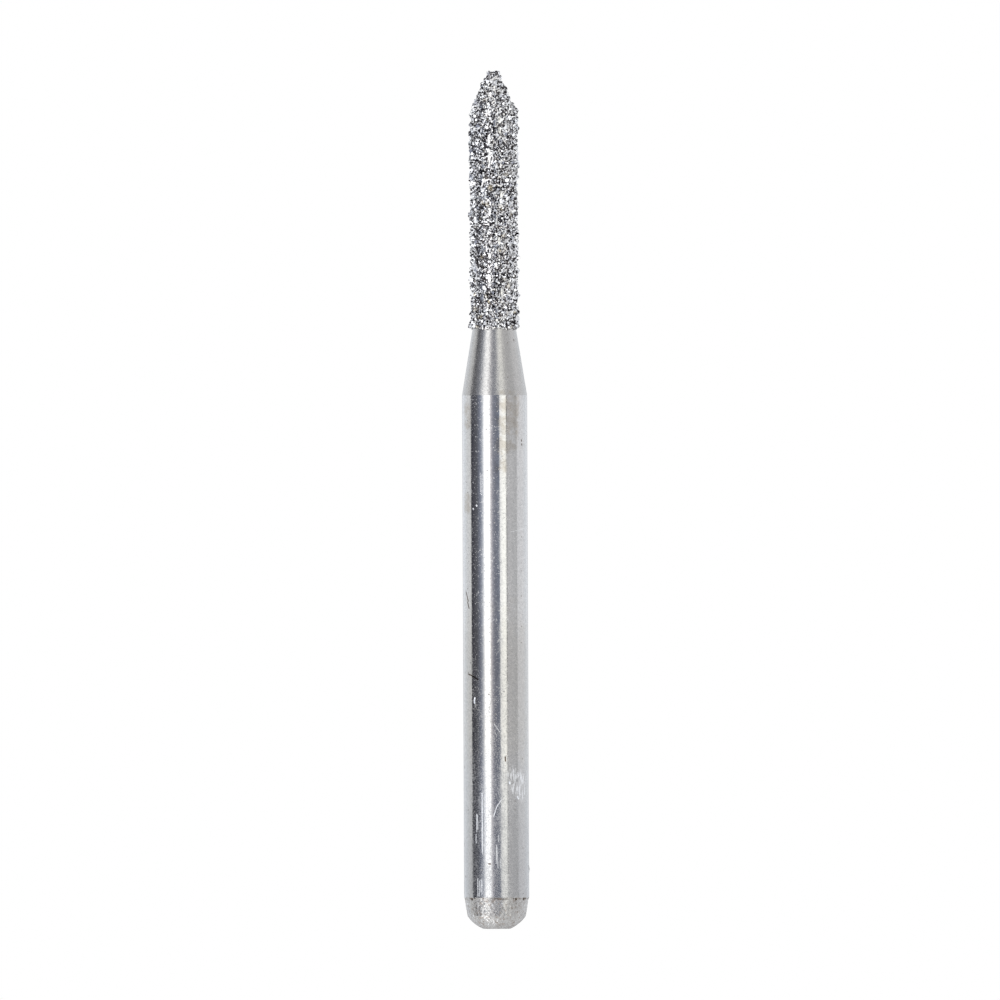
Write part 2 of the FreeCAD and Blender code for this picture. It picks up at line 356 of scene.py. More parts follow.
# %% The coat's outline
NECK_SLOPE = np.arctan2(SHANK_RADIUS - CORE_RADIUS, CORE_LOW - SHANK_HIGH)
FOOT_OVERHANG = 0.05
COAT_FOOT = COAT_LOW + FOOT_OVERHANG


def coat_outline(thickness):
    """The core's outline moved out by a thickness, from the coat's foot to the axis."""
    slope = np.array((np.cos(POINT_SLOPE), np.sin(POINT_SLOPE)))
    foot_radius = CORE_RADIUS + (CORE_LOW - COAT_FOOT) * np.tan(NECK_SLOPE)
    shoulder = BLANK_TOP - CORE_POINT_LENGTH + thickness * np.tan(POINT_SLOPE / 2)
    touch = np.array((0.0, BLANK_TOP - CORE_TIP_RADIUS)) + slope * CORE_TIP_RADIUS
    corners = [
        (foot_radius + thickness * np.cos(NECK_SLOPE), COAT_FOOT),
        (CORE_RADIUS + thickness, CORE_LOW + thickness * np.tan(NECK_SLOPE / 2)),
        (CORE_RADIUS + thickness, shoulder),
        touch + slope * thickness,
    ]
    outline = np.vstack((corners, tip_arc(CORE_TIP_RADIUS + thickness)[1:]))
    outline[-1, 0] = 0.0
    return outline


print("the coat starts at", round(COAT_FOOT, 3), "on the neck")

# %% [markdown]
# The grains are strewn along that line evenly but not in rows. Each next grain is turned
# from the last by the golden angle, which never lines up with itself, and they climb the
# head so that each has the same share of its area. Every grain is then nudged at random,
# and a large grain stands higher, because all of them sit on the core. The real point
# ends in a small blunt cluster, so the last three grains are larger and stand round the
# tip at chosen angles.

# %% Strew the grains over the head
GRAIN_SEED = 5
GRAIN_COUNT, GRAIN_LINE_STEP = 3600, 0.01
GRAIN_SIZE, SIZE_SPREAD, SIZE_LIMITS = 0.08, 0.22, (0.05, 0.14)
SEATED_SHARE = (0.42, 0.62)
NUDGE, SMALLEST_RADIUS = 0.03, 0.1
TIP_GAP, TIP_GRAIN_SIZE = 0.07, 0.125
TIP_TURNS = np.radians((-85.0, 70.0, 175.0))
GOLDEN_ANGLE = HALF_TURN * (3 - np.sqrt(5))
rolls = np.random.default_rng(GRAIN_SEED)
grain_line = resample(coat_outline(0.0), [(0, GRAIN_LINE_STEP)])
runs = np.linalg.norm(np.diff(grain_line, axis=0), axis=1)
along = np.append(0, np.cumsum(runs))
area = np.append(0, np.cumsum(runs * (grain_line[1:, 0] + grain_line[:-1, 0]) / 2))
shares = (np.arange(GRAIN_COUNT) + 0.5) / GRAIN_COUNT
place = np.interp(shares * area[-1], area, along) + rolls.normal(0, NUDGE, GRAIN_COUNT)
place = np.clip(place, GRAIN_SIZE / 2, along[-1] - TIP_GAP)
place[-len(TIP_TURNS):] = along[-1] - TIP_GAP
seat = np.column_stack([np.interp(place, along, grain_line[:, i]) for i in (0, 1)])
out = np.column_stack([np.interp(place, along, outward(grain_line)[:, i]) for i in (0, 1)])
grain_turn = np.arange(GRAIN_COUNT) * GOLDEN_ANGLE
grain_turn += rolls.normal(0, NUDGE, GRAIN_COUNT) / np.clip(seat[:, 0], SMALLEST_RADIUS, None)
grain_size = GRAIN_SIZE * np.exp(rolls.normal(0, SIZE_SPREAD, GRAIN_COUNT))
grain_size = np.clip(grain_size, *SIZE_LIMITS)
grain_turn[-len(TIP_TURNS):] = TIP_TURNS
grain_size[-len(TIP_TURNS):] = TIP_GRAIN_SIZE
seat += out * (grain_size * rolls.uniform(*SEATED_SHARE, GRAIN_COUNT))[:, None]
grain_middles = np.column_stack(
    (seat[:, 0] * np.sin(grain_turn), -seat[:, 0] * np.cos(grain_turn), seat[:, 1])
)
print("a grain to every", round(float(2 * HALF_TURN * area[-1] / GRAIN_COUNT), 4), "mm2")

# %% [markdown]
# Plated nickel holds the grains. It grows on everything it touches, so it climbs a little
# way up each grain and leaves a dimple between them, and it ends on the neck in a ragged
# line. It is turned from an outline that goes down its inner side and up its outer side,
# so that it is a real shell with the core inside it. A solid plug would look the same, but
# it would overlap the steel. The climb is the greatest of rise * exp(-(d / reach)^2) over
# the grains, where d is the distance to a grain's middle. Only the few rows and columns
# near a grain are worked out, and numpy's maximum.at keeps the greatest at each point.

# %% The nickel bond
BOND_THICKNESS, BOND_STEP, BOND_AROUND = 0.026, 0.02, 264
CLIMB, REACH = 0.34, 0.62
HAIR = 0.0005
FOOT_RAGGED, FOOT_SPAN, FOOT_SEED = 0.03, 0.06, 4
ROWS_NEAR, COLUMNS_NEAR = np.arange(-5, 6), np.arange(-24, 25)
bond_inner = coat_outline(HAIR)
bond_outer = resample(coat_outline(BOND_THICKNESS), [(0, BOND_STEP)])
bond_outline = np.vstack((bond_inner[::-1], bond_outer))
inner_rows = len(bond_inner) - 1
bond_points = turned_points(bond_outline, BOND_AROUND)

window_rows, window_columns = np.meshgrid(ROWS_NEAR, COLUMNS_NEAR, indexing="ij")
grain_row = inner_rows + np.searchsorted(bond_outer[:, 1], grain_middles[:, 2])
grain_column = ((grain_turn / (2 * HALF_TURN) + 0.5) * BOND_AROUND).astype(int)
row = grain_row[:, None] + window_rows.ravel()
column = (grain_column[:, None] + window_columns.ravel()) % BOND_AROUND
row = np.clip(row, inner_rows, len(bond_points) - 1)
distance = np.linalg.norm(bond_points[row, column] - grain_middles[:, None], axis=2)
reach = REACH * grain_size[:, None]
climb = CLIMB * grain_size[:, None] * np.exp(-((distance / reach) ** 2))
bond_push = np.zeros(bond_points.shape[:2])
np.maximum.at(bond_push, (row, column), climb)

angle, height = turned_grid(bond_outline, BOND_AROUND)
foot_share = np.exp(-(((height - COAT_FOOT) / FOOT_SPAN) ** 2))
foot_ripple = ripple(angle, 0 * height, FOOT_SEED, waves=16, longest=0.5, shortest=0.1)
foot_lift = FOOT_RAGGED * foot_share * foot_ripple
nickel_bond = turned_mesh("nickel_bond", bond_outline, BOND_AROUND, bond_push, foot_lift)

# %% [markdown]
# Each grain is a blunt crystal: eight large facets of an octahedron, cut off by six facets
# of a cube. A grain can't be one shape copied over and over, because the eye finds the
# repeat at once. A ball with noise would be round, and a diamond isn't. So each grain
# keeps the crystal's pattern of facets but has every facet at its own distance from the
# middle. Each corner is where three facets meet, so it is the solution of three linear
# equations, and numpy solves them for all the grains in one call. More than half of the
# grains settle with a flat facet outward while the nickel grows round them, and these are
# what flashes where the head faces the softbox. The rest lie any way.

# %% The crystal's pattern of facets
SIGNS = (-1.0, 1.0)
CUBE_FACETS = np.vstack([sign * np.eye(3) for sign in SIGNS])
OCTAHEDRON_FACETS = np.array([(a, b, c) for a in SIGNS for b in SIGNS for c in SIGNS])
FACETS = np.vstack((CUBE_FACETS, OCTAHEDRON_FACETS / np.sqrt(3)))
CUBE_DISTANCE, OCTAHEDRON_DISTANCE = 2.0, np.sqrt(3)
FACET_DISTANCE = np.repeat((CUBE_DISTANCE, OCTAHEDRON_DISTANCE), (6, 8))
AXIS_ORDERS = ((0, 1, 2), (0, 2, 1), (1, 0, 2), (1, 2, 0), (2, 0, 1), (2, 1, 0))
CORNERS = np.array(
    [np.array((0, a, 2 * b))[list(order)] for order in AXIS_ORDERS for a in SIGNS for b in SIGNS]
)
ON_FACET = np.abs(CORNERS @ FACETS.T - FACET_DISTANCE) < 1e-6
CORNER_FACETS = np.array([np.flatnonzero(facets) for facets in ON_FACET])


def facet_loop(facet):
    """The corners on one facet, in the order of their angle round its direction."""
    members = np.flatnonzero(ON_FACET[:, facet])
    first = CORNERS[members[0]] - FACETS[facet] * FACET_DISTANCE[facet]
    across = np.cross(FACETS[facet], first)
    turn = np.arctan2(CORNERS[members] @ across, CORNERS[members] @ first)
    return members[np.argsort(turn)]


FACET_LOOPS = [facet_loop(facet) for facet in range(len(FACETS))]
print(len(CORNERS), "corners and facets of", sorted(map(len, FACET_LOOPS)), "sides")

# %% [markdown]
# Now every grain gets its own facets, stretch and turn, and all are cut in one call.

# %% Cut every grain at once
FACET_SPREAD = 0.07
BLUNTNESS = (0.85, 1.2)
STRETCH = (0.7, 1.35)
FLAT_SHARE, FLAT_TILT = 0.6, 0.06


def random_turns(count, rolls):
    """Rotation matrices from random unit quaternions (w, x, y, z)."""
    quaternion = rolls.normal(size=(4, count))
    w, x, y, z = quaternion / np.linalg.norm(quaternion, axis=0)
    return np.array(
        [
            [1 - 2 * (y * y + z * z), 2 * (x * y - w * z), 2 * (x * z + w * y)],
            [2 * (x * y + w * z), 1 - 2 * (x * x + z * z), 2 * (y * z - w * x)],
            [2 * (x * z - w * y), 2 * (y * z + w * x), 1 - 2 * (x * x + y * y)],
        ]
    ).transpose(2, 0, 1)


def seated_turns(out, rolls):
    """Rotation matrices whose columns are two random tangents and the outward direction."""
    out = out + rolls.normal(0, FLAT_TILT, out.shape)
    out = out / np.linalg.norm(out, axis=1)[:, None]
    first = np.cross(out, rolls.normal(size=out.shape))
    first /= np.linalg.norm(first, axis=1)[:, None]
    return np.stack((first, np.cross(out, first), out), axis=2)


def cut_grains(middles, size, turns, rolls):
    """Corners of every grain: solve facet . corner = distance for the three facets there.

    The corner is then stretched along the crystal's axes, turned, scaled and moved.
    """
    count = len(middles)
    distance = FACET_DISTANCE * (1 + rolls.uniform(-1, 1, (count, len(FACETS))) * FACET_SPREAD)
    distance[:, : len(CUBE_FACETS)] *= rolls.uniform(*BLUNTNESS, (count, 1))
    sides = np.broadcast_to(FACETS[CORNER_FACETS], (count, len(CORNERS), 3, 3))
    corners = np.linalg.solve(sides, distance[:, CORNER_FACETS][..., None])[..., 0]
    corners *= rolls.uniform(*STRETCH, (count, 1, 3))
    corners = np.einsum("nij,nkj->nki", turns, corners)
    corners *= (size / (2 * CUBE_DISTANCE))[:, None, None]
    return corners + middles[:, None]


grain_out = np.column_stack(
    (out[:, 0] * np.sin(grain_turn), -out[:, 0] * np.cos(grain_turn), out[:, 1])
)
lies_flat = (rolls.random(GRAIN_COUNT) < FLAT_SHARE)[:, None, None]
turns = np.where(lies_flat, seated_turns(grain_out, rolls), random_turns(GRAIN_COUNT, rolls))
grain_corners = cut_grains(grain_middles, grain_size, turns, rolls)
first_corner = np.arange(GRAIN_COUNT)[:, None] * len(CORNERS)
grain_faces = []
for loop in FACET_LOOPS:
    grain_faces += (first_corner + loop).tolist()
diamond_grains = new_object("diamond_grains", grain_corners.reshape(-1, 3) * MM, grain_faces)
print("grain triangles:", GRAIN_COUNT * sum(len(loop) - 2 for loop in FACET_LOOPS))
print("highest grain:", round(float(grain_corners[..., 2].max()), 3), "of", round(COAT_TOP, 3))

# %% [markdown]
# Light goes into a clear crystal and comes out of another facet or is lost, so one facet
# is nearly black and the next is blinding. That light is painted: each facet keeps a number,
# its tone, which says how much of it is painted glint and how much painted shade, from a
# spread with some dark and some very bright. A second number is the tint of the whole
# grain, and a third says how rough the facet is.

# %% A painted tone of light for every facet
TONE_SHARES = (0.0, 0.22, 0.30, 0.60, 0.66, 1.0)
TONES = (0.03, 0.07, 0.28, 0.55, 0.90, 0.99)
facet_count = GRAIN_COUNT * len(FACET_LOOPS)
facet_rolls = np.ones((facet_count, 4), np.float32)
facet_rolls[:, 0] = np.interp(rolls.random(facet_count), TONE_SHARES, TONES)
facet_rolls[:, 1] = np.tile(rolls.random(GRAIN_COUNT), len(FACET_LOOPS))
facet_rolls[:, 2] = rolls.random(facet_count)
facet_numbers = diamond_grains.data.attributes.new("facet", "FLOAT_COLOR", "FACE")
facet_numbers.data.foreach_set("color", facet_rolls.ravel())
print("mean tone of the facets:", facet_rolls[:, 0].mean().round(2))

# %% [markdown]
# Materials are node trees, and long sums of Math nodes are hard to read. The class Wire
# wraps one output of a node, and Python's own +, - and * on it add the Math nodes.

# %% A small language for shader maths
class Wire:
    """One output socket of a finish, ready for Python arithmetic."""

    def __init__(self, finish, socket):
        self.finish, self.socket = finish, socket

    def output(self, name):
        """Another output of the same node."""
        return Wire(self.finish, self.socket.node.outputs[name])

    def __add__(self, other):
        return self.finish.math("ADD", self, other)

    def __sub__(self, other):
        return self.finish.math("SUBTRACT", self, other)

    def __rsub__(self, other):
        return self.finish.math("SUBTRACT", other, self)

    def __mul__(self, other):
        return self.finish.math("MULTIPLY", self, other)

    __radd__, __rmul__ = __add__, __mul__


# %% [markdown]
# The class Finish holds one material while it grows. Every node comes from one method,
# Finish.node, which takes the node's type, its settings and what goes into its sockets.
# The short methods after it are the few nodes that the finishes use again and again.

# %% A material under construction
class Finish:
    """One material, and the methods that add nodes to it."""

    def __init__(self, name):
        self.material = bpy.data.materials.new(name)
        self.material.use_nodes = True
        self.tree = self.material.node_tree
        self.tree.nodes.clear()

    def node(self, kind, settings, sockets, output=0):
        """Adds a node: first its settings, then a value or a Wire for each socket."""
        node = self.tree.nodes.new("ShaderNode" + kind)
        for name, value in settings.items():
            setattr(node, name, value)
        for name, value in sockets.items():
            if isinstance(value, Wire):
                self.tree.links.new(value.socket, node.inputs[name])
            else:
                node.inputs[name].default_value = value
        return Wire(self, node.outputs[output]) if node.outputs else None

    def math(self, operation, first, second=0.0):
        return self.node("Math", {"operation": operation}, {0: first, 1: second})

    def vector(self, operation, first, second, output="Vector"):
        return self.node("VectorMath", {"operation": operation}, {0: first, 1: second}, output)

    def scaled(self, vector, factor):
        return self.node("VectorMath", {"operation": "SCALE"}, {0: vector, "Scale": factor})

    def place(self):
        """Object coordinates in millimetres."""
        return self.scaled(self.node("TexCoord", {}, {}, "Object"), 1 / MM)

    def step(self, value, low, high):
        """0 on low's side, 1 on high's side and a smooth change between the two."""
        settings = {"interpolation_type": "SMOOTHSTEP"}
        return self.node(
            "MapRange", settings, {"Value": value, "From Min": low, "From Max": high}
        )

    def noise(self, vector, scale, detail=2.0, roughness=0.5):
        """Noise round 0.5: scale clouds to a millimetre, with detail finer layers on them.

        Each layer is twice as fine as the last, and weaker by the share called roughness.
        """
        sockets = {"Vector": vector, "Scale": scale, "Detail": detail, "Roughness": roughness}
        return self.node("TexNoise", {}, sockets)

    def cells(self, vector, scale):
        """Distance to the nearest of many scattered points, with scale to a millimetre."""
        return self.node("TexVoronoi", {}, {"Vector": vector, "Scale": scale}, "Distance")

    def blend(self, share, first, second, mode="MIX"):
        """A colour between two colours, or the first one times a share of the second."""
        settings = {"data_type": "RGBA", "blend_type": mode}
        return self.node("Mix", settings, {0: share, 6: first, 7: second}, 2)

    def bump(self, microns, normal=None):
        """A normal from a height in thousandths of a millimetre, on a given normal or none."""
        sockets = {"Height": microns, "Distance": MICRON, "Strength": 1.0}
        if normal:
            sockets["Normal"] = normal
        return self.node("Bump", {}, sockets)

    def surface(self, piece, sockets):
        """Ends the tree in a Principled shader and puts the material on a piece."""
        shader = self.node("BsdfPrincipled", {}, sockets)
        self.node("OutputMaterial", {}, {"Surface": shader})
        piece.data.materials.append(self.material)
        self.report()

    def report(self):
        """Prints how far the tree has grown."""
        print(self.material.name, "has", len(self.tree.nodes), "nodes")


def grey(value, red=1.0, blue=1.0):
    """A near grey colour, with its red and blue set by their share of the green."""
    return (value * red, value, value * blue, 1.0)


# %% [markdown]
# Every finish on the shank follows the surface, so it needs the distance round the shank
# as well as the height. The angle from the front is atan2(x, -y), and the angle times the
# radius is the distance round. A mark is then a short straight line on the unrolled
# surface, and the distance to it takes a subtraction, a dot product held between 0 and 1,
# and a distance.

# %% Places on the unrolled shank
EDGE_SHARE = 0.45


def round_and_up(finish, place):
    """Distance round, R * atan2(x, -y) with R the shank's radius, and the height z."""
    x = finish.node("SeparateXYZ", {}, {0: place}, "X")
    angle = finish.math("ARCTAN2", x, 0 - x.output("Y"))
    return angle * SHANK_RADIUS, x.output("Z")


def unroll(finish, place):
    """The distance round and the height as one place on the unrolled surface."""
    round_way, height = round_and_up(finish, place)
    return finish.node("CombineXYZ", {}, {0: round_way, 1: height})


def unrolled_point(degrees, height):
    """A place on the shank as a point on the unrolled surface, in millimetres."""
    return np.array((np.radians(degrees) * SHANK_RADIUS, height, 0.0))


def nearness(unrolled, lines, half_width):
    """1 on any of the lines, falling from EDGE_SHARE of half_width to 0 at half_width.

    For each line: t = clamp((p - a) . (b - a) / |b - a|^2), distance = |p - a - t (b - a)|.
    """
    finish, nearest = unrolled.finish, None
    for first_degrees, first_height, last_degrees, last_height in lines:
        start = unrolled_point(first_degrees, first_height)
        run = unrolled_point(last_degrees, last_height) - start
        away = finish.vector("SUBTRACT", unrolled, tuple(start))
        along = finish.vector("DOT_PRODUCT", away, tuple(run / (run @ run)), "Value")
        held = finish.node("Clamp", {}, {"Value": along})
        distance = finish.vector("DISTANCE", away, finish.scaled(tuple(run), held), "Value")
        nearest = distance if nearest is None else finish.math("MINIMUM", nearest, distance)
    return finish.step(nearest, half_width, EDGE_SHARE * half_width)


# %% [markdown]
# These are the marks that years of use have left. Each is a line from one place to
# another, in degrees to the right of the front and millimetres up the axis. Long thin
# streaks along the shank come from pushing it in and out of the chuck. The others are
# knocks, scuffs and stains. They could be painted on an image, but a line in a list is
# easy to move, and it stays sharp when the camera comes close.

# %% The marks on the shank
STREAKS = [
    (-25.3, 3.34, -25.3, 1.84), (-26.0, 3.34, -25.9, 1.9), (-20.2, 3.30, -20.2, 1.86),
    (-37.5, 2.82, -36.9, 2.38), (-34.9, 2.8, -34.9, 2.45),
    (-38.6, 2.33, -38.6, 2.11), (-35.1, 1.24, -35.1, 0.8), (-31.9, 1.2, -31.9, 0.8),
    (-28.5, 1.22, -28.7, 0.9), (-26.5, 1.2, -26.6, 0.85), (9.0, 3.17, 0.7, 3.0),
    (0.7, 3.0, -4.6, 2.77),
]
SCRATCHES = [
    (-26.5, 11.217, -26.2, 10.75), (-23.2, 11.168, -23.6, 10.75), (-26.2, 10.72, -24.0, 10.69),
    (30.3, 9.765, 62.7, 9.858), (-3.2, 5.039, 6.5, 4.842), (7.2, 1.716, 7.5, 1.494),
    (4.0, 2.3, 4.2, 2.15), (0.3, 2.06, -0.5, 1.6), (0.8, 2.0, 2.5, 1.5),
]
PALE_MARKS = [
    (-40.1, 5.679, -41.4, 5.62), (-41.4, 5.62, -40.6, 5.556),
    (-34.3, 10.417, -34.0, 10.41), (-42.2, 10.336, -41.9, 10.33),
    (24.4, 3.611, 24.8, 3.574), (41.0, 3.25, 43.0, 3.20),
]
DARK_MARKS = [
    (-56.7, 6.27, -46.0, 6.23), (-46.0, 6.23, -33.0, 6.134), (-63.8, 8.288, -56.8, 8.066),
    (-58.8, 8.042, -54.4, 7.894), (16.3, 4.226, 16.8, 4.128), (-13.6, 1.598, -10.9, 1.593),
    (55.0, 12.03, 55.6, 12.0), (56.0, 11.93, 56.5, 11.9), (55.5, 14.5, 56.5, 14.47),
    (80.0, 1.54, 84.0, 1.46), (-78.0, 4.0, -77.0, 3.96), (-83.0, 3.45, -82.0, 3.42),
    (-80.0, 2.1, -79.5, 2.08), (-72.0, 1.3, -71.5, 1.28),
]
STAINS = [
    (-58.5, 12.8, -57.0, 12.45), (-60.0, 10.58, -59.5, 10.36), (14.0, 13.1, 11.0, 11.3),
    (26.0, 13.1, 18.0, 11.7), (40.0, 13.1, 34.0, 11.9),
]
SCUFFED = [(34.0, 3.78, 50.0, 3.6), (38.0, 3.5, 50.0, 3.36)]
print("marks:", len(STREAKS), len(SCRATCHES), len(PALE_MARKS), len(DARK_MARKS), len(STAINS))

# %% [markdown]
# The back of the shank isn't known, so its marks are seeded at random. Each is a streak
# that leans a little, with a scratch round the shank near it.

# %% Marks round the back
BACK_MARKS, BACK_TURNS = 9, (80, 180)
STREAK_HEIGHTS, STREAK_LENGTHS, STREAK_LEAN = (1.0, 12.0), (0.15, 0.9), 0.6
SCRATCH_TURN, SCRATCH_LOWER, SCRATCH_RUN = 24, 0.8, (9.6, 0.15)
chance = np.random.default_rng(WEAR_SEED + 1)
back_turn = chance.uniform(*BACK_TURNS, BACK_MARKS) * chance.choice((-1, 1), BACK_MARKS)
back_height = chance.uniform(*STREAK_HEIGHTS, BACK_MARKS)
back_length = chance.uniform(*STREAK_LENGTHS, BACK_MARKS)
for turn, height, length in zip(back_turn, back_height, back_length):
    STREAKS.append((turn, height, turn + STREAK_LEAN, height + length))
    start = np.array((turn + SCRATCH_TURN, height * SCRATCH_LOWER))
    SCRATCHES.append((*start, *(start + SCRATCH_RUN)))
print("with the back's:", len(STREAKS), "streaks and", len(SCRATCHES), "scratches")

# %% [markdown]
# The steel's material starts here. Every list of marks becomes one mask, which is 1 on its
# lines and 0 away from them. Streaks and scratches are a hundredth of a millimetre wide to
# each side, and a stain or a scuffed patch is a wide line.

# %% Masks of the marks
steel = Finish("ground_steel")
place = steel.place()
round_way, z = round_and_up(steel, place)
unrolled = unroll(steel, place)
streaks = nearness(unrolled, STREAKS, half_width=0.011)
scratches = nearness(unrolled, SCRATCHES, half_width=0.010)
pale_marks = nearness(unrolled, PALE_MARKS, half_width=0.028)
dark_marks = nearness(unrolled, DARK_MARKS, half_width=0.024)
stains = nearness(unrolled, STAINS, half_width=0.2)
scuffed = nearness(unrolled, SCUFFED, half_width=0.27)
steel.report()

# %% [markdown]
# The same steel has three finishes. The shank is ground and polished, and it mirrors the
# studio as sharp stripes. The neck is left satin from the lathe, and the end is matt. All
# three are one material, and the height decides between them. Three materials on chosen
# faces would do as well, but they would meet in a ruled line. Here a noise of large clouds
# shifts every line between two finishes a bit.

# %% The three zones and the wear
# the two heights between which each change comes in, in millimetres
WORN, DULL_LOW, DULL_LOWEST = (8.8, 1.5), (8.1, 6.3), (4.5, 0.9)
WARM_FOOT, WARM_TOP = (3.6, 4.8), (8.4, 6.9)
END_EDGE = (SHANK_LOW + 0.015, SHANK_LOW - 0.015)
NECK_EDGE = (SHANK_HIGH - 0.01, SHANK_HIGH + 0.01)


def drawn_out(share, layer):
    """A place for noise drawn out along the shank. Each layer gives another noise."""
    return steel.node("CombineXYZ", {}, {0: round_way, 1: z * share, 2: layer})


uneven = steel.noise(place, 4.0, 3.0, 0.6) - 0.5
wander = uneven * 0.09
on_end = steel.step(z + wander, *END_EDGE)
on_neck = steel.step(z + wander * 0.3, *NECK_EDGE)
on_shank = 1 - on_end - on_neck
worn = steel.step(z + uneven * 1.5, *WORN)
dull = steel.step(z + uneven * 1.2, *DULL_LOW) * 0.19 + steel.step(z, *DULL_LOWEST) * 0.209
steel.report()

# %% [markdown]
# The lower half of the shank is worn by the chuck. Its stripes stay sharp but grow pale,
# which is what a mix of very small matt and polished spots does. A rougher finish would
# blur the stripes instead. So the matt spots are cut out of noises: soft spots, larger
# clouds, and a fine haze that closes up where the steel is worn. The end has that haze too.

# %% Matt spots, clouds and haze
grain = steel.noise(place, 21.0, 2.0, 0.6)
brushed = steel.noise(drawn_out(0.16, 0.5), 26.0, 3.0, 0.6)
spot_height = grain * (1 - 0.5 * worn) + brushed * 0.5 * worn + uneven * 0.175
spots = steel.step(spot_height, 0.61 - 0.06 * worn, 0.68 - 0.04 * worn)
clouds = steel.step(steel.noise(drawn_out(0.4, 1.5), 4.5, 4.0, 0.65), 0.38, 0.72)
haze_limit = 0.73 - 0.215 * worn - 0.05 * clouds
haze = steel.step(steel.noise(place, 44.0, 1.0, 0.5), haze_limit - 0.02, haze_limit + 0.03)
scuffs = steel.step(steel.noise(drawn_out(0.13, 2.5), 26.0, 2.0, 0.6), 0.49, 0.57) * scuffed
steel.report()

# %% [markdown]
# Height differences of a few thousandths of a millimetre come next: pits, the rings that
# the lathe left, the tumbled end. They are sums in microns, and one Bump node reads them.

# %% Its pits, its rings and its relief
PITS_PER_MM = 6.0
pit_distance = steel.cells(place, PITS_PER_MM)
pit_pick = steel.node("SeparateColor", {}, {0: pit_distance.output("Color")}, "Red")
micro_pits = steel.step(pit_distance, 0.15, 0.07) * steel.step(pit_pick, 0.70, 0.76)
RING_DRIFT = 0.05 / SHANK_RADIUS
ring_lines = steel.node("CombineXYZ", {}, {2: z, 0: round_way * RING_DRIFT})
rings = steel.noise(ring_lines, 42.0, 3.0, 0.7)
peel = steel.noise(place, 9.0, 2.0, 0.5)
fine = steel.noise(place, 22.0, 2.0, 0.6)
blast = steel.noise(place, 21.0, 3.0, 0.6)
lumps = steel.noise(place, 10.0, 3.0, 0.6)

shank_relief = peel * 0.3 + rings * 0.04 + fine * (0.2 + 0.2 * worn) + brushed * 0.3 * worn
neck_relief = blast * 3.3 + rings * 1.5
end_relief = blast * 2.6 + lumps * 8.0
relief = shank_relief * on_shank + neck_relief * on_neck + end_relief * on_end
marks_depth = streaks * 2.0 + scratches * 1.2 + pale_marks * 3.0 + dark_marks * 0.8 + scuffs * 1.5
relief = relief - marks_depth * on_shank - micro_pits * 2.0 * (1 - on_end)
steel.report()

# %% [markdown]
# Roughness says how far a mirror image is blurred. Each zone has a base value with its
# own noises on it, each is taken times its mask, and the marks are added at the end. Over
# about 0.3 a stripe is only a soft change of light.

# %% Its roughness
shank_rough = 0.075 + 0.12 * clouds + (0.36 - 0.24 * worn) * spots + (0.5 - 0.28 * worn) * haze
neck_rough = 0.27 + 0.3 * (blast - 0.5)
end_rough = 0.19 + 0.3 * (blast - 0.5) + 0.4 * haze
rough = shank_rough * on_shank + neck_rough * on_neck + end_rough * on_end
rough = rough + (streaks + scuffs) * 0.35 + scratches * 0.22 + pale_marks * 0.6 + micro_pits * 0.3
steel.report()

# %% [markdown]
# Colour is laid on like glazes, one over the other. The bare metal comes first, a grey
# that varies a little from place to place. Then come a warm tint in the lower middle, the
# darker grey of worn and satin steel, and the long stains under the neck.

# %% The colour of its metal
STEEL_DARK, STEEL_PALE = grey(0.56, 0.995, 1.005), grey(0.665, 1.0, 1.0)
WARM, STAIN = grey(0.965, 1.015, 0.97), grey(0.34, 1.14, 0.82)
DULL, SATIN = grey(0.30, 0.98, 1.05), grey(0.30, 1.05, 0.93)
mottle = steel.noise(place, 17.0, 2.0, 0.55)
steel_colour = steel.blend(steel.step(mottle, 0.33, 0.67), STEEL_DARK, STEEL_PALE)
warm = steel.step(z + uneven * 3.0 + (lumps - 0.5) * 1.2, *WARM_TOP)
warm = warm * steel.step(z + uneven * 1.5, *WARM_FOOT)
warm = warm * (0.7 + 0.6 * steel.step(lumps, 0.35, 0.65))
steel_colour = steel.blend(warm, steel_colour, WARM, "MULTIPLY")
satin = on_neck * 0.38 + on_end * (0.28 + 0.3 * steel.step(blast, 0.6, 0.35))
steel_colour = steel.blend(dull * on_shank, steel_colour, DULL)
steel_colour = steel.blend(satin, steel_colour, SATIN)
stain_share = stains * steel.step(uneven + (grain - 0.5) * 0.4, -0.18, 0.1) * 0.5
steel_colour = steel.blend(stain_share, steel_colour, STAIN)
steel.report()

# %% [markdown]
# The pits and a line along the edge of the bevel are made darker, and the end has brown
# crud on it. The bright marks come last, because a fresh scratch goes through everything.
# Their near-white is partly bare steel and partly painted highlight, the glint that a mark
# catches. Where two darker layers meet, the stronger one counts, so they go through
# Maximum nodes.

# %% Its darker places and its bright marks
DARK_GREY, BROWN, BRIGHT = grey(0.085, 1.3, 0.8), grey(0.18, 1.35, 0.78), grey(0.96, 0.98, 1.03)
RIM_HALF = 0.03
rim_distance = steel.math("ABSOLUTE", z + wander - (SHANK_LOW - RIM_HALF))
rim = steel.step(rim_distance, RIM_HALF, 0.4 * RIM_HALF) * on_end
dark_rim = rim * steel.step(grain + uneven * 0.3, 0.45, 0.6)
RING_PITS = [(turn, height, turn + 0.3, height) for turn, height, *_ in front_pits[:3]]
ring_pits = nearness(unrolled, RING_PITS, half_width=0.05)
blotches = steel.noise(place, 11.0, 3.0, 0.6)
crud = steel.step(blotches + uneven * 0.3, 0.55, 0.62) * on_end
# Painted glints: small bright flecks on the end.
glint_flecks = steel.step(steel.noise(place, 15.0, 2.0, 0.5), 0.67, 0.72) * on_end
